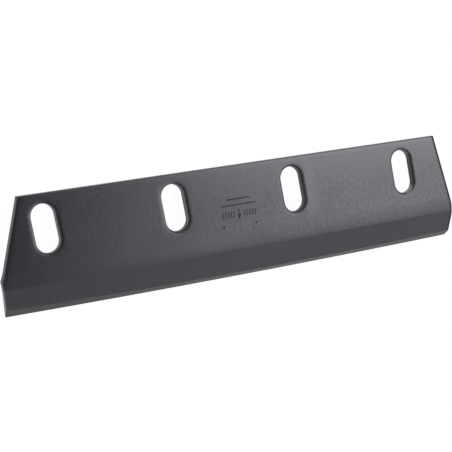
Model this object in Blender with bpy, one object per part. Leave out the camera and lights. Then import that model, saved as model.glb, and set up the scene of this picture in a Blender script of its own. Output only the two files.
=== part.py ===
"""Chopping knife for the cutting drum of a forage harvester.

One plate of hardened steel: punched to a skewed outline with four slotted bolt holes, bent along its length,
ground flat below a crease in the bend, and ground again to a cutting edge. All sizes are in metres.

The blank is drawn flat, as u along the knife from the first slot's centre, v across it from the slots'
centre line towards the back edge, and w, the depth below the outer face. It is then bent, and laid down as
it rests on a table: on its back edge and its cutting edge, outer face up, with +X along the knife.
"""
from math import atan2, cos, pi, radians, sin, sqrt, tan

import bmesh
import bpy
from mathutils import Matrix, Vector

# Plate and bend
PLATE_THICKNESS = 0.006
BEND_INNER_RADIUS = 0.024
BEND_ANGLE = radians(37)
STRIP_WIDTH = 0.0273

# How far round the bend the strip's outer face is ground flat, which leaves a crease there
CREASE_TURN = radians(24.2)

# Slotted bolt holes, for 16 mm bolts
SLOT_SPACINGS = (0.0985, 0.0995, 0.102)
SLOT_WIDTH = 0.0176
SLOT_LENGTH = 0.0355
SLOT_TILT = radians(4.4)

# Flat metal left round the slots
BACK_LAND = 0.0075
BEND_LAND = 0.0092
LEFT_LAND = 0.0085
RIGHT_LAND = 0.0244

# Skewed ends, which change direction in the bend
END_CORNER_DROP = 0.007
LEFT_END_LEAN = radians(17.4)
RIGHT_END_LEAN = radians(12.3)
LEFT_TIP_LEAN = radians(6.0)
RIGHT_TIP_LEAN = radians(9.9)

# Cutting edge and the ground facet above it, both arcs with their crown at one place
EDGE_CROWN = 0.19
EDGE_ARC_RADIUS = 8.85
EDGE_LAND = 0.0006
GRIND_WIDTH = 0.0092
GRIND_ARC_RADIUS = 3.97

# Edges rolled over by the punch on the outer face
OUTLINE_ROLL_RADIUS = 0.0016
SLOT_ROLL_RADIUS = 0.0018

# Fineness of the round stretches
ROLL_STEPS = 4
BEND_STEPS_ABOVE_CREASE = 7
BEND_STEPS_BELOW_CREASE = 4
EDGE_STEPS = 40
SLOT_END_STEPS = 16

# How far a slot's cutter stands out of the plate on each side
CUTTER_OVERRUN = 0.002

# Closer to the grinding plane than this, a point is on it
ON_PLANE = 1e-6

STEEL_COLOUR = (0.115, 0.12, 0.128, 1.0)

BEND_OUTER_RADIUS = BEND_INNER_RADIUS + PLATE_THICKNESS
BACK_EDGE = SLOT_LENGTH / 2 + BACK_LAND
BEND_LINE = -SLOT_LENGTH / 2 - BEND_LAND
CREASE_LINE = BEND_LINE - BEND_OUTER_RADIUS * CREASE_TURN
STRIP_LINE = BEND_LINE - BEND_OUTER_RADIUS * BEND_ANGLE
EDGE_LINE = STRIP_LINE - STRIP_WIDTH
GRIND_LINE = EDGE_LINE + GRIND_WIDTH
END_CORNER_LINE = BEND_LINE - END_CORNER_DROP


def clear_scene():
    for thing in list(bpy.data.objects):
        bpy.data.objects.remove(thing)


def steel_material():
    """Dark steel with an oiled, hardened skin."""
    material = bpy.data.materials.new("hardened_steel")
    material.use_nodes = True
    shader = material.node_tree.nodes["Principled BSDF"]
    shader.inputs["Base Color"].default_value = STEEL_COLOUR
    shader.inputs["Metallic"].default_value = 0.85
    shader.inputs["Roughness"].default_value = 0.42
    return material


def slot_stations():
    """Place of each slot's centre along the knife."""
    stations = [0.0]
    for spacing in SLOT_SPACINGS:
        stations.append(stations[-1] + spacing)
    return stations


def rolled_back(depth, radius):
    """How far a rolled edge stands back from its punched wall, at a depth below the outer face."""
    if depth >= radius:
        return 0.0
    return radius - sqrt(radius**2 - (radius - depth) ** 2)


def roll_depths(radius):
    """Depths of the facets of a rolled edge, from the outer face down to the punched wall."""
    return [radius * (1 - cos(pi / 2 * step / ROLL_STEPS)) for step in range(ROLL_STEPS + 1)]


def arc_rise(u, radius):
    """Height of a shallow arc above its crown."""
    return radius - sqrt(radius**2 - (u - EDGE_CROWN) ** 2)


def lower_line(u, depth):
    """Lower boundary of the blank: the grind line on the outer face, the cutting edge near the inner one."""
    grind = GRIND_LINE + arc_rise(u, GRIND_ARC_RADIUS)
    edge = EDGE_LINE + arc_rise(u, EDGE_ARC_RADIUS)
    share = min(depth / (PLATE_THICKNESS - EDGE_LAND), 1.0)
    return grind + (edge - grind) * share


def end_corners(side):
    """The three corners that shape one end of the blank: back edge, change of direction, and below the tip.

    side is -1 at the left end and 1 at the right one.
    """
    if side < 0:
        start = -SLOT_WIDTH / 2 - LEFT_LAND
        lean, tip_lean = -tan(LEFT_END_LEAN), tan(LEFT_TIP_LEAN)
    else:
        start = slot_stations()[-1] + SLOT_WIDTH / 2 + RIGHT_LAND
        lean, tip_lean = tan(RIGHT_END_LEAN), tan(RIGHT_TIP_LEAN)
    back = Vector((start, BACK_EDGE))
    corner = back + (BACK_EDGE - END_CORNER_LINE) * Vector((lean, -1))
    tip = corner + (END_CORNER_LINE - EDGE_LINE) * Vector((tip_lean, -1))
    return back, corner, tip


def set_back(before, corner, after, distance):
    """A corner of the outline, moved in from both of its sides by one distance."""
    normals = []
    for start, end in ((before, corner), (corner, after)):
        side = (end - start).normalized()
        normals.append(Vector((-side.y, side.x)))
    return corner + distance * (normals[0] + normals[1]) / (1 + normals[0].dot(normals[1]))


def meet_lower_line(corner, tip, depth):
    """Where an end's side, run on from its corner towards the tip, meets the blank's lower boundary."""
    slope = (tip.x - corner.x) / (tip.y - corner.y)
    point = tip.copy()
    for _ in range(8):
        point.y = lower_line(point.x, depth)
        point.x = corner.x + slope * (point.y - corner.y)
    return point


def outline(depth):
    """The blank's outline at one depth, counter-clockwise from the back edge's left corner."""
    inset = rolled_back(depth, OUTLINE_ROLL_RADIUS)
    left_back, left_corner, left_tip = end_corners(-1)
    right_back, right_corner, right_tip = end_corners(1)
    first = set_back(right_back, left_back, left_corner, inset)
    second = set_back(left_back, left_corner, left_tip, inset)
    fifth = set_back(right_tip, right_corner, right_back, inset)
    sixth = set_back(right_corner, right_back, left_back, inset)
    third = meet_lower_line(second, second + (left_tip - left_corner), depth)
    fourth = meet_lower_line(fifth, fifth + (right_tip - right_corner), depth)
    edge = []
    for step in range(1, EDGE_STEPS):
        u = third.x + (fourth.x - third.x) * step / EDGE_STEPS
        edge.append(Vector((u, lower_line(u, depth))))
    return [first, second, third, *edge, fourth, fifth, sixth]


def add_stack(mesh, levels):
    """A closed solid through a stack of like outlines, given as (outline, height), the highest first."""
    rings = []
    for points, height in levels:
        rings.append([mesh.verts.new((point.x, point.y, height)) for point in points])
    count = len(rings[0])
    for upper, lower in zip(rings, rings[1:]):
        for i in range(count):
            j = (i + 1) % count
            mesh.faces.new((upper[j], upper[i], lower[i], lower[j]))
    mesh.faces.new(rings[0])
    mesh.faces.new(list(reversed(rings[-1])))


def bend_point(point):
    """Takes a point of the flat blank round the bend."""
    depth = -point.z
    below = BEND_LINE - point.y
    turn = min(max(below / BEND_OUTER_RADIUS, 0.0), BEND_ANGLE)
    beyond = max(below - BEND_OUTER_RADIUS * BEND_ANGLE, 0.0)
    across = max(point.y, BEND_LINE)
    across -= BEND_OUTER_RADIUS * sin(turn) + beyond * cos(turn) - depth * sin(turn)
    drop = BEND_OUTER_RADIUS * (1 - cos(turn)) + beyond * sin(turn) + depth * cos(turn)
    return Vector((point.x, across, -drop))


def bend_lines():
    """Lines across the flat blank at which the bend's facets meet, with one of them at the crease."""
    lines = [BEND_LINE]
    for stop, steps in ((CREASE_LINE, BEND_STEPS_ABOVE_CREASE), (STRIP_LINE, BEND_STEPS_BELOW_CREASE)):
        start = lines[-1]
        lines += [start + (stop - start) * step / steps for step in range(1, steps + 1)]
    return lines


def grind_strip_flat(mesh):
    """Takes the round off the outer face between the crease and the line where the ground facet begins."""
    crease = bend_point(Vector((0, CREASE_LINE, 0)))
    down = bend_point(Vector((0, GRIND_LINE, 0))) - crease
    outward = Vector((0, down.z, -down.y)).normalized()
    everything = [*mesh.verts, *mesh.edges, *mesh.faces]
    cut = bmesh.ops.bisect_plane(
        mesh, geom=everything, dist=ON_PLANE, plane_co=crease, plane_no=outward, clear_outer=True)
    rim = [item for item in cut["geom_cut"] if isinstance(item, bmesh.types.BMEdge)]
    bmesh.ops.holes_fill(mesh, edges=rim, sides=0)


def make_blank():
    """The punched, ground and bent plate, still without its slots."""
    depths = roll_depths(OUTLINE_ROLL_RADIUS)
    depths += [PLATE_THICKNESS - EDGE_LAND, PLATE_THICKNESS]
    mesh = bmesh.new()
    add_stack(mesh, [(outline(depth), -depth) for depth in depths])
    for line in bend_lines():
        everything = [*mesh.verts, *mesh.edges, *mesh.faces]
        bmesh.ops.bisect_plane(mesh, geom=everything, plane_co=(0, line, 0), plane_no=(0, 1, 0))
    for vertex in mesh.verts:
        vertex.co = bend_point(vertex.co)
    grind_strip_flat(mesh)
    return mesh


def slot_outline(station, grow):
    """A slot's outline, counter-clockwise, widened all round by grow."""
    radius = SLOT_WIDTH / 2 + grow
    straight = (SLOT_LENGTH - SLOT_WIDTH) / 2
    turned = Matrix.Rotation(SLOT_TILT, 2)
    centre = Vector((station, 0))
    points = []
    for end, first_angle in ((straight, 0.0), (-straight, pi)):
        for step in range(SLOT_END_STEPS + 1):
            angle = first_angle + pi * step / SLOT_END_STEPS
            point = Vector((radius * cos(angle), end + radius * sin(angle)))
            points.append(centre + turned @ point)
    return points


def make_slot_cutter(station):
    """The punch for one slot, flared near the outer face by the rolled rim."""
    mesh = bmesh.new()
    levels = [(slot_outline(station, SLOT_ROLL_RADIUS), CUTTER_OVERRUN)]
    for depth in roll_depths(SLOT_ROLL_RADIUS):
        levels.append((slot_outline(station, rolled_back(depth, SLOT_ROLL_RADIUS)), -depth))
    levels.append((slot_outline(station, 0.0), -PLATE_THICKNESS - CUTTER_OVERRUN))
    add_stack(mesh, levels)
    return mesh


def add_object(name, mesh, parent):
    data = bpy.data.meshes.new(name)
    mesh.to_mesh(data)
    mesh.free()
    thing = bpy.data.objects.new(name, data)
    bpy.context.scene.collection.objects.link(thing)
    thing.parent = parent
    return thing


def resting_pose(points):
    """The turn and shift that lay the knife on its back edge and its cutting edge, centred over the origin."""
    back = Vector((0, BACK_EDGE, -PLATE_THICKNESS))
    edge = bend_point(Vector((EDGE_CROWN, EDGE_LINE, -PLATE_THICKNESS)))
    tilt = atan2(back.z - edge.z, back.y - edge.y)
    turn = Matrix.Rotation(-tilt, 4, "X")
    turned = [turn @ point for point in points]
    low = Vector([min(point[axis] for point in turned) for axis in range(3)])
    high = Vector([max(point[axis] for point in turned) for axis in range(3)])
    foot = Vector(((low.x + high.x) / 2, (low.y + high.y) / 2, low.z))
    return Matrix.Translation(-foot) @ turn


def main():
    clear_scene()
    pose = bpy.data.objects.new("resting_pose", None)
    bpy.context.scene.collection.objects.link(pose)

    knife = add_object("chopping_knife", make_blank(), pose)
    knife.data.materials.append(steel_material())
    for number, station in enumerate(slot_stations(), start=1):
        cutter = add_object(f"slot_cutter_{number}", make_slot_cutter(station), pose)
        cutter.hide_render = True
        cutter.display_type = "WIRE"
        cut = knife.modifiers.new(f"slot_{number}", "BOOLEAN")
        cut.operation = "DIFFERENCE"
        cut.solver = "EXACT"
        cut.object = cutter
    pose.matrix_world = resting_pose([vertex.co for vertex in knife.data.vertices])


main()
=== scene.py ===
"""Looks of a chopping knife for a forage harvester's drum, with its floor, lamps and camera.

Run as a script in Blender 4.5. It is laid out as an add-on, but is never installed. All sizes are
in metres.

The knife is modelled as its blank is drawn: flat, with x along the knife from the first slot's
centre, y across it towards the back edge, and z out of the outer face, which is at z = 0. The bend
is spun while it lies so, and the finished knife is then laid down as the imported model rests, on its
back edge and its cutting edge.
"""
from math import atan2, cos, hypot, pi, radians, sin, sqrt, tan

import bmesh
import bpy
from bpy.props import FloatProperty, FloatVectorProperty, IntProperty, PointerProperty
from mathutils import Matrix, Vector


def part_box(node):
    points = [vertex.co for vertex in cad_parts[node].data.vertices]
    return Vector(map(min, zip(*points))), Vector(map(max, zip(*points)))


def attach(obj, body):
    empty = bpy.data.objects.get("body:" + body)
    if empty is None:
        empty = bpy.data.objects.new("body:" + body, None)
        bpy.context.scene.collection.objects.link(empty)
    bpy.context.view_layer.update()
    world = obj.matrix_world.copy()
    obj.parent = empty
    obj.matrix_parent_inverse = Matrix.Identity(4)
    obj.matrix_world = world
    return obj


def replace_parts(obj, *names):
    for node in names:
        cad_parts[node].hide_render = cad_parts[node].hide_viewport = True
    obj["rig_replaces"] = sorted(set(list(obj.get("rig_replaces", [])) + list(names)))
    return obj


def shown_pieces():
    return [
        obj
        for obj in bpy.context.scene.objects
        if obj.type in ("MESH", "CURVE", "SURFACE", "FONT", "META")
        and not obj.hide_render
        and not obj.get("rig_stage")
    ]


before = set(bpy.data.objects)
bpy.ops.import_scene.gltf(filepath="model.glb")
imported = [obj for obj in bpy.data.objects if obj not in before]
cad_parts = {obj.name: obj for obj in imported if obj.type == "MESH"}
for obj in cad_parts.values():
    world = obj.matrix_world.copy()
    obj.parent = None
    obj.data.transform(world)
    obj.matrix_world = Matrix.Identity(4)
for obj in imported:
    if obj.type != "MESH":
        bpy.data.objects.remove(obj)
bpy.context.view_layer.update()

bl_info = {
    "name": "Harvester chopping knife",
    "version": (1, 0, 0),
    "blender": (4, 5, 0),
    "location": "View3D > Sidebar > Knife",
    "description": "Models a bent chopping knife, finishes its steel and sets it on a studio floor",
    "category": "Object",
}

CAD_KNIFE = "chopping_knife"
KNIFE_BODY = "root"
BLANK_PLACE = "blank_place"
SKIN, FLAT, GROUND, PUNCHED = range(4)

# Closer than this, two points are one, and a point is on an arc or on a slot's edge
NEAR, NEAR_ARC, NEAR_SLOT = 1e-5, 3e-5, 5e-4

# Turn of the faces at an edge from which it is rolled or broken, and up to which it is smooth
SHARP_TURN, SMOOTH_TURN = radians(60), radians(20)

# Heights in the plate between which the finishes of the outer face end
OUTER_HALF = (-0.004, -0.003)

# Stretch of the knife over which the slots' rims pass from a painted highlight to painted shade
RIM_CHANGE = (0.12, 0.18)

# Place of the etched mark's middle along the knife
MARK_MIDDLE = 0.1495

# Metal beside and beyond a slot that is drawn with it
BLOCK_MARGINS = (0.0041, 0.004)

# Width of the strip's first row of faces, below the bend
FIRST_ROW = 0.004

# Rounds in which a point on an arc and on a skewed end is closed in on
ROUNDS = 8

COLOUR = {"size": 3, "min": 0, "max": 1, "subtype": "COLOR"}


class KnifeShape(bpy.types.PropertyGroup):
    """Sizes of the knife, as its drawing gives them."""

    thickness: FloatProperty(
        name="Plate thickness", description="Thickness of the steel plate", default=0.006,
        unit="LENGTH")
    bend_radius: FloatProperty(
        name="Bend radius", description="Radius of the bend on the outer face", default=0.030,
        unit="LENGTH")
    bend_angle: FloatProperty(
        name="Bend angle", description="How far the strip with the cutting edge is bent down",
        default=radians(37), subtype="ANGLE")
    crease_turn: FloatProperty(
        name="Crease", description="How far round the bend the flat-ground outer face begins",
        default=radians(24.2), subtype="ANGLE")
    strip_width: FloatProperty(
        name="Strip width",
        description="Width of the bent strip at the crown of the edge, with the facet",
        default=0.0273, unit="LENGTH")
    slot_spacings: FloatVectorProperty(
        name="Slot spacings",
        description="Distances between the four slots' centres, from the left",
        default=(0.0985, 0.0995, 0.102), size=3, unit="LENGTH")
    slot_width: FloatProperty(
        name="Slot width", description="Width of a slot, which takes a 16 mm bolt", default=0.0176,
        unit="LENGTH")
    slot_length: FloatProperty(
        name="Slot length", description="Length of a slot over its round ends", default=0.0355,
        unit="LENGTH")
    slot_tilt: FloatProperty(
        name="Slot tilt", description="How far the slots lean in the plate", default=radians(4.4),
        subtype="ANGLE")
    back_land: FloatProperty(
        name="Back land", description="Flat metal between the slots and the back edge",
        default=0.0075, unit="LENGTH")
    bend_land: FloatProperty(
        name="Bend land", description="Flat metal between the slots and the bend", default=0.0092,
        unit="LENGTH")
    left_land: FloatProperty(
        name="Left land", description="Metal left of the first slot, at the back edge",
        default=0.0085, unit="LENGTH")
    right_land: FloatProperty(
        name="Right land", description="Metal right of the last slot, at the back edge",
        default=0.0244, unit="LENGTH")
    corner_drop: FloatProperty(
        name="Corner drop", description="How far below the bend line the ends change direction",
        default=0.007, unit="LENGTH")
    left_lean: FloatProperty(
        name="Left lean", description="Lean of the left end above its corner",
        default=radians(17.4), subtype="ANGLE")
    right_lean: FloatProperty(
        name="Right lean", description="Lean of the right end above its corner",
        default=radians(12.3), subtype="ANGLE")
    left_tip_lean: FloatProperty(
        name="Left tip lean", description="Lean of the left end below its corner",
        default=radians(6.0), subtype="ANGLE")
    right_tip_lean: FloatProperty(
        name="Right tip lean", description="Lean of the right end below its corner",
        default=radians(9.9), subtype="ANGLE")
    crown: FloatProperty(
        name="Crown", description="Place of the cutting edge's crown along the knife", default=0.19,
        unit="LENGTH")
    edge_arc: FloatProperty(
        name="Edge arc", description="Radius of the cutting edge's shallow arc", default=8.85,
        unit="LENGTH")
    edge_land: FloatProperty(
        name="Edge land", description="Blunt land left along the cutting edge", default=0.0006,
        unit="LENGTH")
    grind_width: FloatProperty(
        name="Grind width", description="Width of the ground facet at the crown", default=0.0092,
        unit="LENGTH")
    grind_arc: FloatProperty(
        name="Grind arc", description="Radius of the arc where the ground facet begins",
        default=3.97, unit="LENGTH")
    outline_roll: FloatProperty(
        name="Outline roll", description="Radius that the punch rolled over the outline's edges",
        default=0.0016, unit="LENGTH")
    slot_roll: FloatProperty(
        name="Slot roll", description="Radius that the punch rolled over the slots' edges",
        default=0.0018, unit="LENGTH")
    draw_in: FloatProperty(
        name="Draw-in", description="How deep the punch drew the outer face in beside its edges",
        default=0.00018, unit="LENGTH")
    draw_width: FloatProperty(
        name="Draw-in width",
        description="How far from the ends the outer face begins to be drawn in", default=0.004,
        unit="LENGTH")
    ring_width: FloatProperty(
        name="Ring width",
        description="How far from the slots the outer face begins to be drawn in", default=0.003,
        unit="LENGTH")
    inner_break: FloatProperty(
        name="Inner edge break", description="Width of the broken edges round the inner face",
        default=0.00015, unit="LENGTH")
    slot_steps: IntProperty(
        name="Slot steps", description="Faces round each round end of a slot", default=24, min=8)
    bend_steps: IntProperty(
        name="Bend steps", description="Faces across the bend", default=20, min=6)
    roll_steps: IntProperty(
        name="Roll steps", description="Faces across a rolled edge", default=6, min=2)
    column_width: FloatProperty(
        name="Column width", description="Greatest width of a column of faces along the knife",
        default=0.0085, unit="LENGTH")


class KnifeFinish(bpy.types.PropertyGroup):
    """Colours and finishes of the steel."""

    skin_dark: FloatVectorProperty(
        name="Skin, dark", description="Dark patches of the oiled, hardened skin",
        default=(0.0885, 0.0895, 0.0975), **COLOUR)
    skin_light: FloatVectorProperty(
        name="Skin, light", description="Light patches of the oiled, hardened skin",
        default=(0.1085, 0.110, 0.1185), **COLOUR)
    # Painted sheen along the back edge; the same colour makes the skin lighter beside the third slot
    sheen_and_light_patch: FloatVectorProperty(
        name="Back sheen and lighter patch",
        description="Painted sheen along the back edge, and lighter skin beside the third slot",
        default=(0.130, 0.1315, 0.1415), **COLOUR)
    # Painted shade: the skin darker and bluer towards the left end
    left_end_shade: FloatVectorProperty(
        name="Left end shade", description="Painted shade, darker and bluer towards the left end",
        default=(0.020, 0.026, 0.045), **COLOUR)
    flat: FloatVectorProperty(
        name="Flat-ground strip",
        description="The strip below the crease, ground flat before it was hardened",
        default=(0.0955, 0.0982, 0.108), **COLOUR)
    # Real scratches on the skin, and painted sheen on the punched walls
    scratch_and_wall_sheen: FloatVectorProperty(
        name="Scratch and wall sheen", description="Clean steel in light scratches, and painted sheen on the walls",
        default=(0.17, 0.173, 0.182), **COLOUR)
    # Colour of the mark's lines, which also paints shade on the ground facet towards the left end
    etched_and_facet_shade: FloatVectorProperty(
        name="Etched mark and facet shade", description="Etched lines, and painted shade on the ground facet towards the left end",
        default=(0.030, 0.031, 0.033), **COLOUR)
    # Painted shade on the rolled rims, which also makes them duller
    painted_rim_shade: FloatVectorProperty(
        name="Painted shade on rims", description="Painted shade on the rolled rims",
        default=(0.036, 0.033, 0.032), **COLOUR)
    # Painted highlight on the slots' rims, and worn steel right of the last slot
    highlight_and_wear: FloatVectorProperty(
        name="Rim highlight and wear", description="Painted highlight on the slots' rolled rims, and worn steel",
        default=(0.23, 0.239, 0.248), **COLOUR)
    ground: FloatVectorProperty(
        name="Ground steel", description="The ground facet along the cutting edge",
        default=(0.168, 0.166, 0.168), **COLOUR)
    punched: FloatVectorProperty(
        name="Punched wall", description="Walls of the slots and the outline",
        default=(0.054, 0.057, 0.056), **COLOUR)
    skin_roughness: FloatProperty(
        name="Skin roughness", description="Mean roughness of the skin", default=0.29, min=0, max=1,
        subtype="FACTOR")
    mottle_size: FloatProperty(
        name="Mottle size", description="Size of the skin's fine mottling", default=0.0026,
        unit="LENGTH")
    cloud_size: FloatProperty(
        name="Cloud size", description="Size of the skin's large patches", default=0.045,
        unit="LENGTH")
    dent_depth: FloatProperty(
        name="Skin texture depth", description="Depth of the skin's fine texture", default=0.000024,
        unit="LENGTH")


class KnifeStage(bpy.types.PropertyGroup):
    """Floor, lamps and camera."""

    eye: FloatVectorProperty(
        name="Eye", description="Place of the camera", default=(-0.34543, 0.26693, 0.70324), size=3,
        subtype="TRANSLATION")
    turn: FloatVectorProperty(
        name="Turn", description="Turn of the camera about X, Y and Z",
        default=(radians(-18.76), radians(-25.572), radians(-0.955)), size=3, subtype="EULER")
    lens: FloatProperty(
        name="Lens", description="Focal length in millimetres", default=84.73, min=1)
    floor_width: FloatProperty(
        name="Floor width", description="Width of the floor", default=16, unit="LENGTH")
    floor_tone: FloatVectorProperty(
        name="Floor colour", description="Pale colour of the floor", default=(0.8, 0.8, 0.8),
        **COLOUR)
    floor_glow_share: FloatProperty(
        name="Floor glow share", description="Share of its own light in what is seen of the floor",
        default=0.89, min=0, max=1, subtype="FACTOR")
    floor_glow: FloatProperty(
        name="Floor glow", description="Strength of the floor's own light", default=1.09, min=0)
    box_level: FloatProperty(
        name="Softbox level", description="Brightness of the softbox, where 1 is white",
        default=0.5, min=0)
    box_distance: FloatProperty(
        name="Softbox distance", description="Distance of the softbox", default=1.6, unit="LENGTH")
    box_towards: FloatVectorProperty(
        name="Softbox direction", description="Direction of the softbox from the knife",
        default=(0.62, 0.42, 0.66), size=3, subtype="DIRECTION")
    box_size: FloatVectorProperty(
        name="Softbox size", description="Width and height of the softbox", default=(1.1, 1.1),
        size=2, unit="LENGTH")
    dark_level: FloatProperty(
        name="Dark level", description="Brightness of the studio over the knife's left end",
        default=0.132, min=0)
    bright_level: FloatProperty(
        name="Bright level", description="Brightness of the studio over the knife's right end",
        default=1.73, min=0)
    front_levels: FloatVectorProperty(
        name="Front levels", description="Brightness of the studio in front, at its left and right",
        default=(0.42, 0.65), size=2)
    rise: FloatVectorProperty(
        name="Rise",
        description="Where the studio turns bright to the right, as the X of a direction",
        default=(0.278, 0.47), size=2)
    fall: FloatVectorProperty(
        name="Fall", description="Where the studio turns dark again, as the X of a direction",
        default=(0.48, 0.93), size=2)
    front_lean: FloatVectorProperty(
        name="Front to top",
        description="Lean at which the front of the studio passes into its top",
        default=(0.14, 0.47), size=2)
    front_tint: FloatVectorProperty(
        name="Front tint", description="Tint of the front of the studio, at its left",
        default=(1.04, 0.975, 1.05), size=3, subtype="COLOR", min=0, max=2)
    cool: FloatVectorProperty(
        name="Cool tint", description="Tint of the dark side of the studio",
        default=(0.955, 1.0, 1.12), size=3, subtype="COLOR", min=0, max=2)


def reach(shape):
    """Lines across the flat blank, from the back edge to the crown of the cutting edge."""
    back = shape.slot_length / 2 + shape.back_land
    bend = -shape.slot_length / 2 - shape.bend_land
    strip = bend - shape.bend_radius * shape.bend_angle
    edge = strip - shape.strip_width
    return back, bend, strip, edge, edge + shape.grind_width


def slot_stations(shape):
    """Place of each slot's centre along the knife."""
    stations = [0.0]
    for spacing in shape.slot_spacings:
        stations.append(stations[-1] + spacing)
    return stations


def end_station(shape, side, y):
    """Where an end of the blank is, at a line across it.

    The side is -1 at the left end and 1 at the right one.
    """
    back, bend, _, _, _ = reach(shape)
    corner_line = bend - shape.corner_drop
    if side < 0:
        start = -shape.slot_width / 2 - shape.left_land
        lean, tip_lean = -tan(shape.left_lean), tan(shape.left_tip_lean)
    else:
        start = slot_stations(shape)[-1] + shape.slot_width / 2 + shape.right_land
        lean, tip_lean = tan(shape.right_lean), tan(shape.right_tip_lean)
    above = back - max(y, corner_line)
    below = max(corner_line - y, 0.0)
    return start + lean * above + tip_lean * below


def arc_rise(shape, x, radius):
    """Height of a shallow arc above its crown."""
    return radius - sqrt(radius**2 - (x - shape.crown) ** 2)


def flat_place(shape, point):
    """The place in the flat blank of a point of the bent one."""
    _, bend, strip, _, _ = reach(shape)
    y, z = point.y - bend, point.z + shape.bend_radius
    turn = min(max(atan2(-y, z), 0.0), shape.bend_angle)
    if turn <= 0.0:
        return Vector((point.x, point.y, point.z))
    if turn < shape.bend_angle:
        return Vector((point.x, bend - shape.bend_radius * turn, hypot(y, z) - shape.bend_radius))
    along = -y * cos(turn) - z * sin(turn)
    out = -y * sin(turn) + z * cos(turn)
    return Vector((point.x, strip - along, out - shape.bend_radius))


def edited():
    return bmesh.from_edit_mesh(bpy.context.edit_object.data)


def select(kind, test):
    """Selects the vertices, edges or faces that pass a test, and nothing else."""
    bpy.ops.mesh.select_mode(type=kind)
    bpy.ops.mesh.select_all(action="DESELECT")
    mesh = edited()
    for item in {"VERT": mesh.verts, "EDGE": mesh.edges, "FACE": mesh.faces}[kind]:
        item.select_set(test(item))
    mesh.select_flush_mode()
    bmesh.update_edit_mesh(bpy.context.edit_object.data)


def both(edge, test):
    return all(test(vertex) for vertex in edge.verts)


def select_edges(test):
    """Selects the edges of which both ends pass a test."""
    select("EDGE", lambda edge: both(edge, test))


def extrude(shift):
    bpy.ops.mesh.extrude_region_move(TRANSFORM_OT_translate={"value": shift})


def shift_each(test, shift_of):
    """Moves every vertex that passes a test by the shift that its place asks for."""
    bpy.ops.mesh.select_mode(type="VERT")
    wanted = [vertex.index for vertex in edited().verts if test(vertex)]
    for index in wanted:
        bpy.ops.mesh.select_all(action="DESELECT")
        mesh = edited()
        mesh.verts.ensure_lookup_table()
        vertex = mesh.verts[index]
        vertex.select_set(True)
        shift = shift_of(vertex.co)
        bmesh.update_edit_mesh(bpy.context.edit_object.data)
        bpy.ops.transform.translate(value=shift)


def nominal_ends(shape):
    """Where the two ends are at the back edge."""
    back = reach(shape)[0]
    return end_station(shape, -1, back), end_station(shape, 1, back)


def column_stations(shape):
    """Where the columns of faces meet, with even columns over every slot's block."""
    half = block_half(shape)[0]
    left, right = nominal_ends(shape)
    marks = [left, left + shape.draw_width]
    for station in slot_stations(shape):
        marks += [station - half, station + half]
    marks += [right - shape.draw_width, right]
    stations = [marks[0]]
    for start, stop in zip(marks, marks[1:]):
        count = int((stop - start) / shape.column_width) + 1
        stations += [start + (stop - start) * step / count for step in range(1, count + 1)]
    return stations


def block_half(shape):
    """Half the width and height of the rectangle of the plate that each slot is set in."""
    beside, beyond = BLOCK_MARGINS
    return shape.slot_width / 2 + beside, shape.slot_length / 2 + beyond


def draw_sheet(shape):
    """The outer face as a sheet: one column of faces round the bend, repeated along the knife."""
    back, bend, strip, _, grind = reach(shape)
    top = block_half(shape)[1]
    stations = column_stations(shape)
    width = stations[1] - stations[0]
    bpy.ops.mesh.primitive_plane_add(size=1)
    bpy.context.active_object.name = "finished_knife"
    bpy.ops.object.mode_set(mode="EDIT")
    bpy.ops.transform.resize(value=(width, -top - bend, 1))
    bpy.ops.transform.translate(value=(stations[0] + width / 2, (bend - top) / 2, 0))

    select_edges(lambda v: v.co.y > -top - NEAR)
    extrude((0, 2 * top, 0))
    extrude((0, back - top, 0))

    select_edges(lambda v: v.co.y < bend + NEAR)
    corner_turn = shape.corner_drop / shape.bend_radius
    centre = (0, bend, -shape.bend_radius)
    for angle in (corner_turn, shape.bend_angle - corner_turn):
        steps = round(shape.bend_steps * angle / shape.bend_angle)
        bpy.ops.mesh.spin(steps=steps, angle=angle, center=centre, axis=(-1, 0, 0))
    down = strip_direction(shape)
    extrude(down * FIRST_ROW)
    extrude(down * (strip - grind - FIRST_ROW))

    for start, stop in zip(stations[1:], stations[2:]):
        select_edges(lambda v: abs(v.co.x - start) < NEAR)
        extrude((stop - start, 0, 0))


def strip_direction(shape):
    """Unit vector down the bent strip, away from the bend."""
    return Vector((0, -cos(shape.bend_angle), -sin(shape.bend_angle)))


def skew_ends(shape):
    """Skews the ends, and moves the lowest row to the arc where the facet begins."""
    grind = reach(shape)[4]
    down = strip_direction(shape)
    for side, nominal in zip((-1, 1), nominal_ends(shape)):

        def skew(place):
            return end_station(shape, side, flat_place(shape, place).y) - nominal, 0, 0

        for inset in (0.0, shape.draw_width):
            shift_each(lambda v: abs(v.co.x - nominal + side * inset) < NEAR, skew)
    shift_each(
        lambda v: flat_place(shape, v.co).y < grind + NEAR,
        lambda place: to_arc(shape, place, grind, shape.grind_arc, down))


def to_arc(shape, place, line, radius, down):
    """Shift from a straight line along the strip to an arc with its crown on that line.

    A point of an end is shifted along that end.
    """
    x, y, _ = flat_place(shape, place)
    target = x
    for _ in range(ROUNDS):
        line_there = line + arc_rise(shape, target, radius)
        for side in (-1, 1):
            off_end = x - end_station(shape, side, y)
            if abs(off_end) < shape.draw_width + NEAR:
                target = end_station(shape, side, line_there) + off_end
    return Vector((target - x, 0, 0)) + down * (y - line_there)


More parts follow.
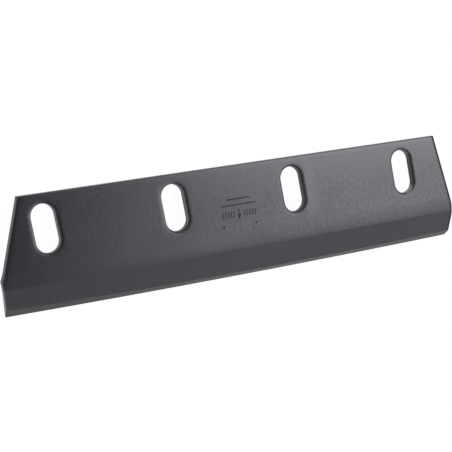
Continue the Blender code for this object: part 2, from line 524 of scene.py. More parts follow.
def cut_slots(shape):
    """Takes out each slot's block and sets a slot in it, with a ring of faces round it."""
    half, top = block_half(shape)
    radius, straight = shape.slot_width / 2, (shape.slot_length - shape.slot_width) / 2
    ring = 1.0 + shape.ring_width / radius
    stations = slot_stations(shape)

    def in_block(face):
        place = face.calc_center_median()
        return abs(place.y) < top and any(abs(place.x - station) < half for station in stations)

    select("FACE", in_block)
    bpy.ops.mesh.delete(type="FACE")

    def in_first_hole(vertex):
        x, y, z = vertex.co
        return abs(x) < half - NEAR and abs(y) < top - NEAR and z > -NEAR

    def at_joint(vertex, side):
        on_side = side * vertex.co.x > radius - NEAR and abs(vertex.co.y) < straight + NEAR
        return in_first_hole(vertex) and on_side

    bpy.ops.mesh.primitive_circle_add(
        vertices=2 * shape.slot_steps, radius=radius, location=(0, 0, 0))
    select("VERT", lambda v: in_first_hole(v) and v.co.y < -NEAR)
    bpy.ops.mesh.delete(type="VERT")
    select_edges(in_first_hole)
    extrude((0, 0, 0))
    bpy.ops.transform.resize(value=(ring, ring, 1), center_override=(0, 0, 0))
    select("VERT", in_first_hole)
    bpy.ops.transform.translate(value=(0, straight, 0))
    bpy.ops.mesh.duplicate()
    bpy.ops.transform.rotate(value=pi, orient_axis="Z", center_override=(0, 0, 0))
    for side in (-1, 1):
        select("VERT", lambda v: at_joint(v, side))
        bpy.ops.mesh.edge_face_add()
    select("VERT", in_first_hole)
    bpy.ops.transform.rotate(value=-shape.slot_tilt, orient_axis="Z", center_override=(0, 0, 0))
    for spacing in shape.slot_spacings:
        bpy.ops.mesh.duplicate_move(TRANSFORM_OT_translate={"value": (spacing, 0, 0)})

    for station in stations:
        select("EDGE", lambda edge: edge.is_boundary and round_slot(shape, edge, station))
        bpy.ops.mesh.fill(use_beauty=True)


def wall_distance(shape, point, station):
    """Distance of a point of the plate from the wall of a slot, which is negative in the slot."""
    straight = (shape.slot_length - shape.slot_width) / 2
    turned = Matrix.Rotation(-shape.slot_tilt, 2) @ Vector((point.x - station, point.y))
    beyond = turned.y - min(max(turned.y, -straight), straight)
    return hypot(turned.x, beyond) - shape.slot_width / 2


def near_slot(shape, point, gap):
    """Whether a point of the plate is closer than a gap to the wall of any slot."""
    return any(wall_distance(shape, point, station) < gap for station in slot_stations(shape))


def round_slot(shape, edge, station):
    """Whether an edge is in a slot's block and not on the slot's own edge."""
    half, top = block_half(shape)

    def in_block(vertex):
        x, y, z = vertex.co
        inside = abs(x - station) < half + NEAR and abs(y) < top + NEAR and z > -NEAR
        return inside and wall_distance(shape, vertex.co, station) > NEAR_SLOT

    return both(edge, in_block)


def face_outwards():
    """Turns the sheet's faces so that they point out of the outer face."""
    bpy.ops.mesh.select_mode(type="FACE")
    bpy.ops.mesh.select_all(action="SELECT")
    bpy.ops.mesh.remove_doubles(threshold=NEAR)
    bpy.ops.mesh.normals_make_consistent(inside=False)
    if sum(face.normal.z * face.calc_area() for face in edited().faces) < 0:
        bpy.ops.mesh.flip_normals()
    bpy.ops.object.mode_set(mode="OBJECT")


def thicken(shape, knife):
    """Gives the sheet the plate's thickness, inwards. The walls take the punched finish."""
    for _ in (SKIN, FLAT, GROUND, PUNCHED):
        knife.data.materials.append(None)
    plate = knife.modifiers.new("plate", "SOLIDIFY")
    plate.thickness = shape.thickness
    plate.offset = -1
    plate.use_even_offset = True
    plate.material_offset_rim = PUNCHED
    bpy.ops.object.modifier_apply(modifier=plate.name)


def grind_edge(shape):
    """Slopes the lower wall into the ground facet, with a thin blunt land at the cutting edge."""
    _, _, _, edge_line, grind_line = reach(shape)
    down = strip_direction(shape)
    out = Vector((0, -sin(shape.bend_angle), cos(shape.bend_angle)))

    def drop(place):
        x, y, _ = flat_place(shape, place)
        return grind_line + arc_rise(shape, x, shape.grind_arc), y

    def on_lower_wall(vertex):
        line, y = drop(vertex.co)
        return abs(y - line) < NEAR_ARC

    def is_lower_wall(face):
        upright = abs(face.normal.dot(out)) < 0.1
        return upright and all(on_lower_wall(vertex) for vertex in face.verts)

    select("FACE", is_lower_wall)
    for face in edited().faces:
        if face.select:
            face.material_index = GROUND
    corner = Vector((0, reach(shape)[1], -shape.bend_radius))
    land = shape.edge_land - shape.thickness
    bpy.ops.mesh.bisect(plane_co=corner + out * (shape.bend_radius + land), plane_no=out)

    def moved(vertex):
        return on_lower_wall(vertex) and flat_place(shape, vertex.co).z < land + NEAR

    shift_each(moved, lambda place: to_arc(shape, place, edge_line, shape.edge_arc, down))


def draw_in_edges(shape):
    """Draws the outer face in beside the slots, and beside the outline down to the crease."""
    back, bend, _, _, _ = reach(shape)
    crease = bend - shape.bend_radius * shape.crease_turn

    def punched(vertex):
        x, y, z = flat_place(shape, vertex.co)
        at_end = any(abs(end_station(shape, side, y) - x) < NEAR for side in (-1, 1))
        at_outline = y > back - NEAR or (at_end and y > crease)
        return z > -NEAR and (at_outline or near_slot(shape, vertex.co, NEAR))

    def inwards(place):
        turn = min(max(atan2(bend - place.y, place.z + shape.bend_radius), 0.0), shape.bend_angle)
        return Vector((0, sin(turn), -cos(turn))) * shape.draw_in

    shift_each(punched, inwards)


def roll_edges(shape):
    """Rolls over the outer edges, but not where the facet begins, and breaks the inner ones."""
    grind_line = reach(shape)[4]

    def outer(vertex):
        return flat_place(shape, vertex.co).z > -shape.draw_in - NEAR

    def on_grind_line(vertex):
        x, y, _ = flat_place(shape, vertex.co)
        return y < grind_line + arc_rise(shape, x, shape.grind_arc) + NEAR_ARC

    def sharp(edge):
        turned = edge.is_manifold and edge.calc_face_angle() > SHARP_TURN
        return turned and not both(edge, on_grind_line)

    def at_slot(edge):
        return both(edge, lambda v: near_slot(shape, v.co, NEAR_SLOT))

    settings = {"profile": 0.5, "affect": "EDGES", "clamp_overlap": False}
    for slots, offset in ((True, shape.slot_roll), (False, shape.outline_roll)):
        select("EDGE", lambda edge: both(edge, outer) and sharp(edge) and at_slot(edge) == slots)
        bpy.ops.mesh.bevel(offset=offset, segments=shape.roll_steps, material=SKIN, **settings)

    def inner(vertex):
        return flat_place(shape, vertex.co).z < -shape.thickness + NEAR

    select("EDGE", lambda edge: both(edge, inner) and sharp(edge))
    bpy.ops.mesh.bevel(offset=shape.inner_break, segments=2, material=PUNCHED, **settings)


def grind_strip_flat(shape):
    """Takes the round off the outer face between the crease in the bend and the ground facet."""
    _, bend, strip, _, grind = reach(shape)
    radius, turn = shape.bend_radius, shape.crease_turn
    crease = Vector((0, bend - radius * sin(turn), radius * cos(turn) - radius))
    turned = Matrix.Rotation(shape.bend_angle, 3, "X")
    foot = Vector((0, bend, -radius)) + turned @ Vector((0, grind - strip, radius))
    outward = Vector((0, foot.z - crease.z, crease.y - foot.y)).normalized()
    bpy.ops.mesh.select_all(action="SELECT")
    bpy.ops.mesh.bisect(
        plane_co=crease, plane_no=outward, use_fill=True, clear_outer=True, threshold=0.1 * NEAR)

    def on_plane(vertex):
        return abs((vertex.co - crease).dot(outward)) < NEAR

    select_edges(on_plane)
    bpy.ops.mesh.mark_sharp()
    select("FACE", lambda face: all(on_plane(vertex) for vertex in face.verts))
    for face in edited().faces:
        if face.select:
            face.material_index = FLAT


def smooth_faces(knife):
    """Smooth shading over the bend and the rolled edges, with the flats kept flat."""
    bpy.ops.object.shade_smooth_by_angle(angle=SMOOTH_TURN)
    weighted = knife.modifiers.new("flats", "WEIGHTED_NORMAL")
    weighted.keep_sharp = True
    weighted.weight = 100
    bpy.ops.object.modifier_apply(modifier=weighted.name)


def note_blank_places(shape, knife):
    """Keeps every vertex's place in the flat blank, which the finishes follow round the bend."""
    mesh = knife.data
    places = mesh.attributes.new(BLANK_PLACE, "FLOAT_VECTOR", "POINT")
    for vertex, place in zip(mesh.vertices, places.data):
        place.vector = flat_place(shape, vertex.co)


def lay_down(shape, knife):
    """Lays the knife on its back edge and its cutting edge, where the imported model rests."""
    back, bend, _, _, _ = reach(shape)
    inner_radius = shape.bend_radius - shape.thickness
    cosine, sine = cos(shape.bend_angle), sin(shape.bend_angle)
    edge_y = bend - inner_radius * sine - shape.strip_width * cosine
    edge_z = inner_radius * cosine - shape.bend_radius - shape.strip_width * sine
    tilt = atan2(-shape.thickness - edge_z, back - edge_y)
    bpy.ops.object.mode_set(mode="EDIT")
    bpy.ops.mesh.select_all(action="SELECT")
    bpy.ops.transform.rotate(value=tilt, orient_axis="X", center_override=(0, 0, 0))
    bpy.ops.object.mode_set(mode="OBJECT")
    low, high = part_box(CAD_KNIFE)
    places = [vertex.co for vertex in knife.data.vertices]
    own_low = Vector([min(place[axis] for place in places) for axis in range(3)])
    own_high = Vector([max(place[axis] for place in places) for axis in range(3)])
    shift = (low + high - own_low - own_high) / 2
    shift.z = low.z - own_low.z
    bpy.ops.object.mode_set(mode="EDIT")
    bpy.ops.mesh.select_all(action="SELECT")
    bpy.ops.transform.translate(value=shift)
    bpy.ops.object.mode_set(mode="OBJECT")


class KNIFE_OT_model(bpy.types.Operator):
    """Model the knife: draw its face, cut the slots, thicken it, grind it and roll its rims"""

    bl_idname = "harvester_knife.model"
    bl_label = "Model the knife"

    def execute(self, context):
        shape = context.scene.knife_shape
        bpy.ops.object.select_all(action="DESELECT")
        draw_sheet(shape)
        knife = context.active_object
        cut_slots(shape)
        skew_ends(shape)
        face_outwards()
        thicken(shape, knife)
        bpy.ops.object.mode_set(mode="EDIT")
        grind_edge(shape)
        draw_in_edges(shape)
        roll_edges(shape)
        grind_strip_flat(shape)
        bpy.ops.object.mode_set(mode="OBJECT")
        note_blank_places(shape, knife)
        smooth_faces(knife)
        lay_down(shape, knife)
        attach(knife, KNIFE_BODY)
        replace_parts(knife, CAD_KNIFE)
        return {"FINISHED"}


class Value:
    """The output of a shader node, which sums and products can be written with."""

    def __init__(self, socket):
        self.socket = socket

    @property
    def tree(self):
        return self.socket.id_data

    def __add__(self, other):
        return calc("ADD", self, other)

    def __sub__(self, other):
        return calc("SUBTRACT", self, other)

    def __rsub__(self, other):
        return calc("SUBTRACT", other, self)

    def __mul__(self, other):
        return calc("MULTIPLY", self, other)

    def __truediv__(self, other):
        return calc("DIVIDE", self, other)

    def __rtruediv__(self, other):
        return calc("DIVIDE", other, self)

    def __abs__(self):
        return calc("ABSOLUTE", self)

    def remap(self, low, high, new_low=0.0, new_high=1.0, curve="LINEAR"):
        """The value mapped from one range to another, and kept within it."""
        node = add_node(self.tree, "ShaderNodeMapRange", interpolation_type=curve)
        names = ("Value", "From Min", "From Max", "To Min", "To Max")
        for name, number in zip(names, (self, low, high, new_low, new_high)):
            feed(number, node.inputs[name])
        return Value(node.outputs["Result"])

    def ease(self, low, high, new_low=0.0, new_high=1.0):
        """The value mapped as remap does, with soft ends."""
        return self.remap(low, high, new_low, new_high, curve="SMOOTHSTEP")

    def fade(self, low, high):
        """1 below a range and 0 above it."""
        return self.remap(low, high, 1.0, 0.0)


def add_node(tree, kind, **settings):
    node = tree.nodes.new(kind)
    for name, value in settings.items():
        setattr(node, name, value)
    return node


def feed(value, socket):
    """Links a value to an input, or sets the input to a plain number or colour."""
    if isinstance(value, Value):
        socket.id_data.links.new(value.socket, socket)
    else:
        socket.default_value = value


def values_of(node):
    """A node's outputs by name."""
    return {socket.name: Value(socket) for socket in node.outputs}


def calc(operation, first, *others):
    """The result of a Math node, or of a row of them that takes in one value after another."""
    tree = next(value.tree for value in (first, *others) if isinstance(value, Value))
    for other in others or (0.0,):
        node = add_node(tree, "ShaderNodeMath", operation=operation)
        feed(first, node.inputs[0])
        feed(other, node.inputs[1])
        first = Value(node.outputs[0])
    return first


def most(*values):
    return calc("MAXIMUM", *values)


def least(*values):
    return calc("MINIMUM", *values)


def blend_colours(factor, first, second):
    """Two colours mixed by a factor."""
    node = add_node(factor.tree, "ShaderNodeMix", data_type="RGBA")
    feed(factor, node.inputs["Factor"])
    for name, colour in (("A", first), ("B", second)):
        socket = next(s for s in node.inputs if s.name == name and s.type == "RGBA")
        feed(colour if isinstance(colour, Value) else (*colour, 1.0), socket)
    return Value(next(s for s in node.outputs if s.type == "RGBA"))


def coat(colour, *coats):
    """A colour under a row of coats, each given by the share that it covers and its own colour."""
    for share, cover in coats:
        colour = blend_colours(share, colour, cover)
    return colour


def shades(colour, *shares):
    """A colour made darker or lighter by each of some shares."""
    return [[share * part for part in colour] for share in shares]


def axes(place):
    """The X, Y and Z of a place."""
    split = add_node(place.tree, "ShaderNodeSeparateXYZ")
    feed(place, split.inputs[0])
    return [Value(socket) for socket in split.outputs]


def stretched(place, scale, turn=0.0):
    """A place scaled and then turned about Z, for a pattern that reads it."""
    node = add_node(place.tree, "ShaderNodeMapping")
    feed(place, node.inputs["Vector"])
    node.inputs["Rotation"].default_value = (0, 0, turn)
    node.inputs["Scale"].default_value = scale
    return Value(node.outputs["Vector"])


def noise(place, scale, detail=2.0, roughness=0.5):
    node = add_node(place.tree, "ShaderNodeTexNoise")
    names = ("Vector", "Scale", "Detail", "Roughness")
    for name, value in zip(names, (place, scale, detail, roughness)):
        feed(value, node.inputs[name])
    return Value(node.outputs["Fac"])


def start_group(name, inputs, outputs):
    """A node group that takes a place and other values, with the values and its outputs."""
    tree = bpy.data.node_groups.new(name, "ShaderNodeTree")
    tree.interface.new_socket("Place", in_out="INPUT", socket_type="NodeSocketVector")
    for label, default in inputs.items():
        socket = tree.interface.new_socket(label, in_out="INPUT", socket_type="NodeSocketFloat")
        socket.default_value = default
    for label in outputs:
        tree.interface.new_socket(label, in_out="OUTPUT", socket_type="NodeSocketFloat")
    given = values_of(add_node(tree, "NodeGroupInput"))
    return tree, given, add_node(tree, "NodeGroupOutput").inputs


def use_group(group, place, **values):
    """Places a node group, with spaces for the underscores in its inputs' names."""
    node = add_node(place.tree, "ShaderNodeGroup", node_tree=group)
    feed(place, node.inputs["Place"])
    for name, value in values.items():
        feed(value, node.inputs[name.replace("_", " ")])
    return values_of(node)


def steel_grain_group():
    """Patches, mottling and rolling streaks of plate steel, as values round a half, and relief."""
    tree, given, put = start_group(
        "plate steel grain", {"Cloud Size": 0.045, "Mottle Size": 0.0026},
        ("Clouds", "Mottle", "Streaks", "Height"))
    place, fine = given["Place"], 1.0 / given["Mottle Size"]
    mottle = noise(place, fine, detail=1)
    feed(noise(place, 1.0 / given["Cloud Size"], detail=3), put["Clouds"])
    feed(mottle, put["Mottle"])
    feed(noise(stretched(place, (900, 40, 900)), 1.0, detail=2), put["Streaks"])
    feed(mottle * 0.6 + noise(place, fine * 0.45, detail=2), put["Height"])
    return tree


def scratch_group():
    """Fine, short scratches across the knife in two sizes, with clear stretches between them."""
    tree, given, put = start_group("light scratches", {"Amount": 0.3}, ["Mask"])
    place = given["Place"]
    threads = []
    for turn, thread in ((radians(24), 2600), (radians(-57), 2200)):
        lines = noise(stretched(place, (thread, 45, 200), turn), 1.0, detail=0)
        threads.append(lines.remap(0.74, 0.80))
    where = noise(place, 38, detail=1).remap(0.52, 0.66)
    feed(most(*threads) * where * given["Amount"], put["Mask"])
    return tree


def machining_group():
    """Fine parallel lines that a wheel or a punch leaves across an edge."""
    tree, given, put = start_group("machining lines", {"Spacing": 0.0003}, ["Lines"])
    place = stretched(given["Place"], (1.0, 0.03, 0.03))
    feed(noise(place, 1.0 / given["Spacing"], detail=3, roughness=0.6), put["Lines"])
    return tree


def slot_gap(x, y, shape):
    """How far a point of the plate is from the nearest slot's wall."""
    straight = (shape.slot_length - shape.slot_width) / 2
    cosine, sine = cos(shape.slot_tilt), sin(shape.slot_tilt)
    spines = []
    for station in slot_stations(shape):
        off = x - station
        across = off * cosine + y * sine
        beyond = most(abs(y * cosine - off * sine) - straight, 0.0)
        spines.append(calc("SQRT", across * across + beyond * beyond))
    return least(*spines) - shape.slot_width / 2


def right_end_gap(x, y, shape):
    """How far a point of the plate is from its right end, along the knife."""
    back, bend, _, _, _ = reach(shape)
    corner_line = bend - shape.corner_drop
    ends = []
    for line, lean in ((back, shape.right_lean), (corner_line, shape.right_tip_lean)):
        ends.append((line - y) * tan(lean) + end_station(shape, 1, line))
    return least(*ends) - x


def rim_group(shape):
    """Masks of the rims.

    The first mask is painted shade, darkening and dulling the rims towards the right end, along the
    back edge and below the slots towards the left one. The second is a painted highlight on the
    slots' rims towards the left end, more on their left sides. The third is steel worn clean, right
    of the last slot's ends.
    """
    tree, given, put = start_group("shaded and highlighted rims", {}, ("Shaded", "Highlight", "Worn"))
    x, y, z = axes(given["Place"])
    gap = slot_gap(x, y, shape)
    last = slot_stations(shape)[-1]
    round_ends = most(y.remap(-0.0115, -0.0142), y.remap(0.0120, 0.0145, 0.0, 0.5))
    worn = x.remap(last, last + 0.003) * round_ends
    feed(worn * gap.fade(0.0008, 0.0016), put["Worn"])

    # Painted shade on the rims, standing in for dark reflections: round the slots, at the right end
    # and along the back edge
    slot_roll, end_roll, back = shape.slot_roll, shape.outline_roll, reach(shape)[0]
    leftwards = x.fade(*RIM_CHANGE)
    below = y.remap(-0.0125, -0.0170, 0.0, 0.6) * leftwards
    amount = most(below, x.remap(*RIM_CHANGE, 0.0, 0.5))
    slots = gap.fade(slot_roll - 0.0006, slot_roll + 0.0001) * amount * (1.0 - worn)
    end = right_end_gap(x, y, shape).fade(end_roll + 0.0005, end_roll + 0.0013)
    back_edge = y.remap(back - 0.0012, back - 0.0004, 0.0, 0.15)
    feed(most(slots, end, back_edge) * z.remap(*OUTER_HALF), put["Shaded"])

    # Painted highlight: the slots' rims lighter towards the left end and on their left sides
    shifted = slot_gap(x + 0.0006, y, shape).fade(slot_roll - 0.0014, slot_roll - 0.0008)
    above = y.remap(-0.0155, -0.0105)
    feed(shifted * above * x.remap(0.02, 0.08, 0.7, 1.0) * leftwards, put["Highlight"])
    return tree


def start_steel(name):
    """A metallic material, with its shader and its place in the flat blank."""
    material = bpy.data.materials.new(name)
    material.use_nodes = True
    tree = material.node_tree
    shader = tree.nodes["Principled BSDF"]
    shader.inputs["Metallic"].default_value = 0.9
    place = add_node(tree, "ShaderNodeAttribute", attribute_type="GEOMETRY")
    place.attribute_name = BLANK_PLACE
    return material, shader, Value(place.outputs["Vector"])


def finish_steel(shader, colour, rough, height, depth):
    """Puts the colour, roughness and fine relief into a steel's shader."""
    bump = add_node(shader.id_data, "ShaderNodeBump")
    bump.inputs["Distance"].default_value = depth
    feed(height, bump.inputs["Height"])
    feed(Value(bump.outputs["Normal"]), shader.inputs["Normal"])
    feed(colour, shader.inputs["Base Color"])
    feed(rough, shader.inputs["Roughness"])


def bar(x, y, centre, size, soft=0.0001):
    """Mask of a plain rectangle in the plate."""
    masks = []
    for value, middle, length in zip((x, y), centre, size):
        masks.append(abs(value - middle).fade(length / 2 - soft, length / 2 + soft))
    return masks[0] * masks[1]


def hatch(x, y, centre, size, pitch):
    """Mask of a row of thin upright bars that fills a rectangle, with a bar on its middle."""
    step = calc("FRACT", (x - (centre[0] - pitch / 2)) / pitch)
    return abs(step - 0.5).fade(0.16, 0.24) * bar(x, y, centre, size)


def etched_mark(place):
    """A plain etched mark in the plate.

    It has two rules, then an arrow towards the cutting edge between hatched fields, then two dots.
    """
    x, y, _ = axes(place)
    x = x - MARK_MIDDLE
    shapes = [
        bar(x, y, (0, -0.0004), (0.0200, 0.0010)),
        bar(x, y, (0, -0.0048), (0.0295, 0.0009)),
        bar(x, y, (0, -0.0110), (0.0009, 0.0060)),
    ]
    for side in (-1, 1):
        shapes.append(hatch(x, y, (side * 0.0090, -0.0120), (0.0115, 0.0050), pitch=0.0023))
        shapes.append(bar(x, y, (side * 0.0137, -0.0205), (0.0016, 0.0016)))
    tip, tall, wide, soft = -0.0164, 0.0042, 0.0019, 0.00008
    above_tip = y - tip
    inside = above_tip * (wide / tall) - abs(x)
    head = inside.remap(-soft, soft) * above_tip.fade(tall - soft, tall + soft)
    return most(head, *shapes)


def skin_material(look, grain, scratches, rim_masks):
    """Oiled, hardened skin: dark and mottled, with streaks, scratches and the mark, painted sheen
    along the back edge, painted shade towards the left end and on the rims, and painted highlights on
    the slots' rims.
    """
    material, shader, place = start_steel("hardened plate skin")
    x, y, z = axes(place)
    seen = use_group(grain, place, Cloud_Size=look.cloud_size, Mottle_Size=look.mottle_size)
    mottle = (seen["Mottle"] - 0.5) * x.remap(0.05, 0.22, 1.2, 2.9)
    tone = seen["Clouds"] + mottle + (seen["Streaks"] - 0.5) * 0.5
    skin = blend_colours(tone.remap(0.1, 0.9), look.skin_dark, look.skin_light)

    outside = z.remap(*OUTER_HALF)
    # Painted sheen: the skin lighter along the back edge towards the right end; it is also lighter
    # beside the third slot
    painted_back_sheen = x.remap(0.07, 0.14, 0.0, 0.65) * y.remap(-0.004, 0.026)
    beside_slot = x.remap(0.2065, 0.2085, 0.0, 0.85) * x.ease(0.209, 0.2265, 1.0, 0.0)
    beside_slot = beside_slot * y.remap(-0.026, -0.012, 0.2, 1.0)
    scratched = use_group(scratches, place, Amount=0.25)["Mask"]
    mark = etched_mark(place) * outside * seen["Mottle"].remap(0.35, 0.6, 0.65, 1.0)
    rims = use_group(rim_masks, place)
    # Painted shade on the rims, and painted highlight on the slots' rims together with the worn steel
    rim_shade_mask, highlight_and_wear = rims["Shaded"], most(rims["Highlight"], rims["Worn"]) * outside
    colour = coat(
        skin,
        (most(painted_back_sheen, beside_slot), look.sheen_and_light_patch),
        # Painted shade, darker and bluer towards the left end
        (x.remap(-0.02, 0.06, 0.18, 0.0), look.left_end_shade),
        (scratched, look.scratch_and_wall_sheen),
        (mark, look.etched_and_facet_shade),
        # Painted highlight on the slots' rims, with the worn steel
        (highlight_and_wear, look.highlight_and_wear),
        (rim_shade_mask, look.painted_rim_shade))
    feed(rim_shade_mask.remap(0.0, 1.0, 0.9, 0.1), shader.inputs["Metallic"])
    mean = look.skin_roughness
    rough = seen["Mottle"].remap(0.25, 0.75, mean - 0.006, mean + 0.006)
    rough = rough + mark * 0.2 + highlight_and_wear * 0.2 + rim_shade_mask * 0.5
    finish_steel(shader, colour, rough, seen["Height"], look.dent_depth)
    return material


def flat_material(look, machining, grain, scratches, rim_masks):
    """Flat-ground strip: even, with faint wheel lines along it, few scratches and painted shade on
    its rims.
    """
    material, shader, place = start_steel("flat-ground strip")
    along = stretched(place, (0.02, 1, 1), turn=radians(90))
    lines = use_group(machining, along, Spacing=0.0005)["Lines"]
    seen = use_group(grain, place, Cloud_Size=0.06, Mottle_Size=0.004)
    tone = seen["Clouds"] + (lines - 0.5) * 0.5 + (seen["Mottle"] - 0.5) * 0.3
    colour = coat(
        blend_colours(tone.remap(0.2, 0.8), *shades(look.flat, 0.95, 1.05)),
        (use_group(scratches, place, Amount=0.2)["Mask"], look.scratch_and_wall_sheen),
        # Painted shade on the rims
        (use_group(rim_masks, place)["Shaded"] * 0.6, look.painted_rim_shade))
    finish_steel(shader, colour, lines.remap(0.25, 0.75, 0.27, 0.31), lines, depth=0.000004)
    return material


def ground_material(look, machining, grain):
    """Ground facet: brighter, with fine wheel lines across it, and painted shade darkening it towards
    the left end.
    """
    material, shader, place = start_steel("ground facet")
    x, _, _ = axes(place)
    lines = use_group(machining, place, Spacing=0.00028)["Lines"]
    tone = (lines + use_group(grain, place, Cloud_Size=0.02)["Clouds"]) * 0.5
    colour = coat(
        blend_colours(tone.remap(0.3, 0.7), *shades(look.ground, 0.86, 1.14)),
        # Painted shade: the facet darker towards the left end
        (x.remap(-0.03, 0.20, 0.42, 0.0), look.etched_and_facet_shade))
    shader.inputs["Specular Tint"].default_value = (0.4, 0.4, 0.4, 1.0)
    finish_steel(shader, colour, lines.remap(0.25, 0.75, 0.30, 0.42), lines, depth=0.00001)
    return material


def punched_material(look, machining, grain, rim_masks):
    """Punched wall: a smooth sheared band with fine lines, rough torn metal below it, and painted
    sheen that is lighter towards the left end.
    """
    material, shader, place = start_steel("punched wall")
    x, y, z = axes(place)
    seen = use_group(grain, place, Cloud_Size=0.006, Mottle_Size=0.0009)
    torn = ((seen["Clouds"] - 0.5) * 0.002 - z).remap(0.0024, 0.0030)
    lines = use_group(machining, stretched(place, (1, 33, 1)), Spacing=0.00022)["Lines"]
    sheared, dark, light = shades(look.punched, 1.1, 0.72, 1.0)
    not_left_end = most(x.remap(-0.016, -0.0125), y.remap(-0.040, -0.034, 0.5, 0.0))
    colour = coat(
        blend_colours(torn, sheared, blend_colours(seen["Mottle"], dark, light)),
        # Painted sheen on the walls, lighter towards the left end and kept off most of the left end's
        # wall
        (x.remap(0.02, 0.16, 0.6, 0.17) * not_left_end, look.scratch_and_wall_sheen),
        (use_group(rim_masks, place)["Worn"], look.highlight_and_wear))
    rough = torn.remap(0.0, 1.0, 0.34, 0.52)
    finish_steel(shader, colour, rough, lines * 0.25 + seen["Mottle"] * torn, depth=0.00008)
    return material


class KNIFE_OT_finish(bpy.types.Operator):
    """Give the knife its hardened skin, flat-ground strip, ground facet and punched walls"""

    bl_idname = "harvester_knife.finish"
    bl_label = "Finish the steel"

    def execute(self, context):
        look = context.scene.knife_finish
        knife = next((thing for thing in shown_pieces() if "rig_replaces" in thing), None)
        if knife is None:
            raise RuntimeError("model the knife before its finish")
        grain, scratches, machining = steel_grain_group(), scratch_group(), machining_group()
        rim_masks = rim_group(context.scene.knife_shape)
        knife.data.materials[SKIN] = skin_material(look, grain, scratches, rim_masks)
        knife.data.materials[FLAT] = flat_material(look, machining, grain, scratches, rim_masks)
        knife.data.materials[GROUND] = ground_material(look, machining, grain)
        knife.data.materials[PUNCHED] = punched_material(look, machining, grain, rim_masks)
        return {"FINISHED"}


def lay_floor(stage):
    """A wide pale floor, white to the camera and in metal, that keeps the knife's shadow."""
    bpy.ops.object.select_all(action="DESELECT")
    bpy.ops.mesh.primitive_plane_add(size=stage.floor_width)
    floor = bpy.context.active_object
    floor.name = "studio_floor"
    material = bpy.data.materials.new("pale floor")
    material.use_nodes = True
    tree = material.node_tree
    tree.nodes.clear()
    matt = add_node(tree, "ShaderNodeBsdfDiffuse")
    feed((*stage.floor_tone, 1.0), matt.inputs["Color"])
    glow = add_node(tree, "ShaderNodeEmission")
    feed(stage.floor_glow, glow.inputs["Strength"])
    ray = values_of(add_node(tree, "ShaderNodeLightPath"))
    seen = most(ray["Is Camera Ray"], ray["Is Glossy Ray"], ray["Is Transmission Ray"])
    mix = add_node(tree, "ShaderNodeMixShader")
    feed(seen * stage.floor_glow_share, mix.inputs["Fac"])
    surface = add_node(tree, "ShaderNodeOutputMaterial").inputs["Surface"]
    for node, socket in ((matt, mix.inputs[1]), (glow, mix.inputs[2]), (mix, surface)):
        feed(Value(node.outputs[0]), socket)
    floor.data.materials.append(material)
    floor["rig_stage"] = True


def hang_softbox(stage):
    """One large softbox behind the knife's right end."""
    towards = Vector(stage.box_towards).normalized()
    bpy.ops.object.light_add(type="AREA", location=towards * stage.box_distance)
    lamp = bpy.context.active_object
    lamp.name = "softbox"
    lamp.rotation_euler = towards.to_track_quat("Z", "Y").to_euler()
    lamp.data.shape = "RECTANGLE"
    lamp.data.size, lamp.data.size_y = stage.box_size
    lamp.data.energy = stage.box_level * pi * lamp.data.size * lamp.data.size_y


def surround(stage):
    """The studio round the knife.

    It is dark over the knife's left end, bright over its right one, grey in front and white below.
    The light follows a direction's X and its lean, which runs from 0 in front to 1 behind.
    """
    world = bpy.data.worlds.new("studio")
    bpy.context.scene.world = world
    world.use_nodes = True
    tree = world.node_tree
    tree.nodes.clear()
    x, y, z = axes(values_of(add_node(tree, "ShaderNodeTexCoord"))["Generated"])
    lean = calc("ARCTAN2", y, z).remap(-pi / 2, pi / 2)
    share = lean.remap(*stage.front_lean)
    rise = (x + lean.remap(0.50, 0.58, 0.02, -0.02)).ease(*stage.rise)
    fall = x.ease(*stage.fall, 1.0, 0.25)
    behind = lean.ease(0.51, 0.61, 1.0, 1.45)
    dark = lean.ease(0.50, 0.60, stage.dark_level, 0.75 * stage.dark_level)
    top = dark + rise * fall * behind * stage.bright_level
    front = x.ease(0.15, 0.40, *stage.front_levels) * x.ease(0.46, 0.58, 1.0, 0.83)
    ridge = lean.ease(0.22, 0.36, 0.0, 0.13) * lean.ease(0.41, 0.51, 1.0, 0.0) * rise
    far_left = x.ease(-0.45, -0.85, 0.0, 0.36)
    level = (front + share * (top - front)) * (ridge + 1.0) + far_left
    horizon = z.ease(0.2, 0.08) * x.ease(0.88, 0.95, 1.0, 0.0)
    level = level + horizon * (1.0 - level)
    dim = blend_colours(share, stage.front_tint, stage.cool)
    colour = blend_colours(most(rise, horizon), dim, (1.0, 1.0, 1.0))
    background = add_node(tree, "ShaderNodeBackground")
    feed(colour, background.inputs["Color"])
    feed(level, background.inputs["Strength"])
    output = add_node(tree, "ShaderNodeOutputWorld")
    feed(Value(background.outputs[0]), output.inputs["Surface"])


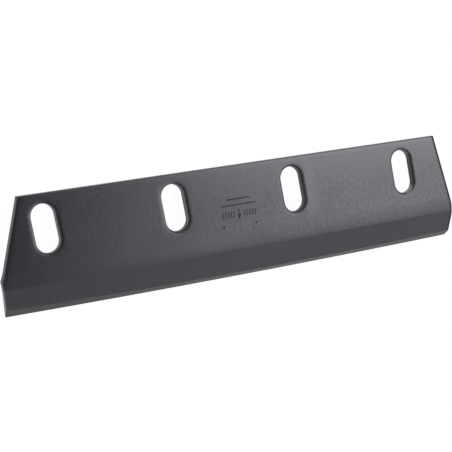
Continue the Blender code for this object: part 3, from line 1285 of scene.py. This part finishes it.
def place_camera(stage):
    bpy.ops.object.camera_add(location=stage.eye, rotation=stage.turn)
    camera = bpy.context.active_object
    camera.name = "photo_camera"
    camera.data.lens = stage.lens
    camera.data.sensor_width = 36
    bpy.context.scene.camera = camera


class KNIFE_OT_stage(bpy.types.Operator):
    """Set the stage: pale floor, softbox, studio surroundings and the camera"""

    bl_idname = "harvester_knife.stage"
    bl_label = "Set the stage"

    def execute(self, context):
        stage = context.scene.knife_stage
        context.scene.view_settings.view_transform = "Standard"
        lay_floor(stage)
        hang_softbox(stage)
        surround(stage)
        place_camera(stage)
        return {"FINISHED"}


class KNIFE_PT_sidebar(bpy.types.Panel):
    """Sizes, colours and steps of the chopping knife"""

    bl_idname = "KNIFE_PT_sidebar"
    bl_label = "Chopping knife"
    bl_space_type = "VIEW_3D"
    bl_region_type = "UI"
    bl_category = "Knife"

    def draw(self, context):
        scene = context.scene
        for title, settings, operator in (
            ("Shape", scene.knife_shape, KNIFE_OT_model),
            ("Finish", scene.knife_finish, KNIFE_OT_finish),
            ("Stage", scene.knife_stage, KNIFE_OT_stage),
        ):
            box = self.layout.box()
            box.label(text=title)
            for name in settings.bl_rna.properties.keys():
                if name not in ("rna_type", "name"):
                    box.prop(settings, name)
            box.operator(operator.bl_idname)


CLASSES = (
    KnifeShape,
    KnifeFinish,
    KnifeStage,
    KNIFE_OT_model,
    KNIFE_OT_finish,
    KNIFE_OT_stage,
    KNIFE_PT_sidebar,
)


def register():
    for cls in CLASSES:
        bpy.utils.register_class(cls)
    bpy.types.Scene.knife_shape = PointerProperty(type=KnifeShape)
    bpy.types.Scene.knife_finish = PointerProperty(type=KnifeFinish)
    bpy.types.Scene.knife_stage = PointerProperty(type=KnifeStage)


def unregister():
    del bpy.types.Scene.knife_shape
    del bpy.types.Scene.knife_finish
    del bpy.types.Scene.knife_stage
    for cls in reversed(CLASSES):
        bpy.utils.unregister_class(cls)


def main():
    register()
    bpy.ops.harvester_knife.model()
    bpy.ops.harvester_knife.finish()
    bpy.ops.harvester_knife.stage()


if __name__ == "__main__":
    main()
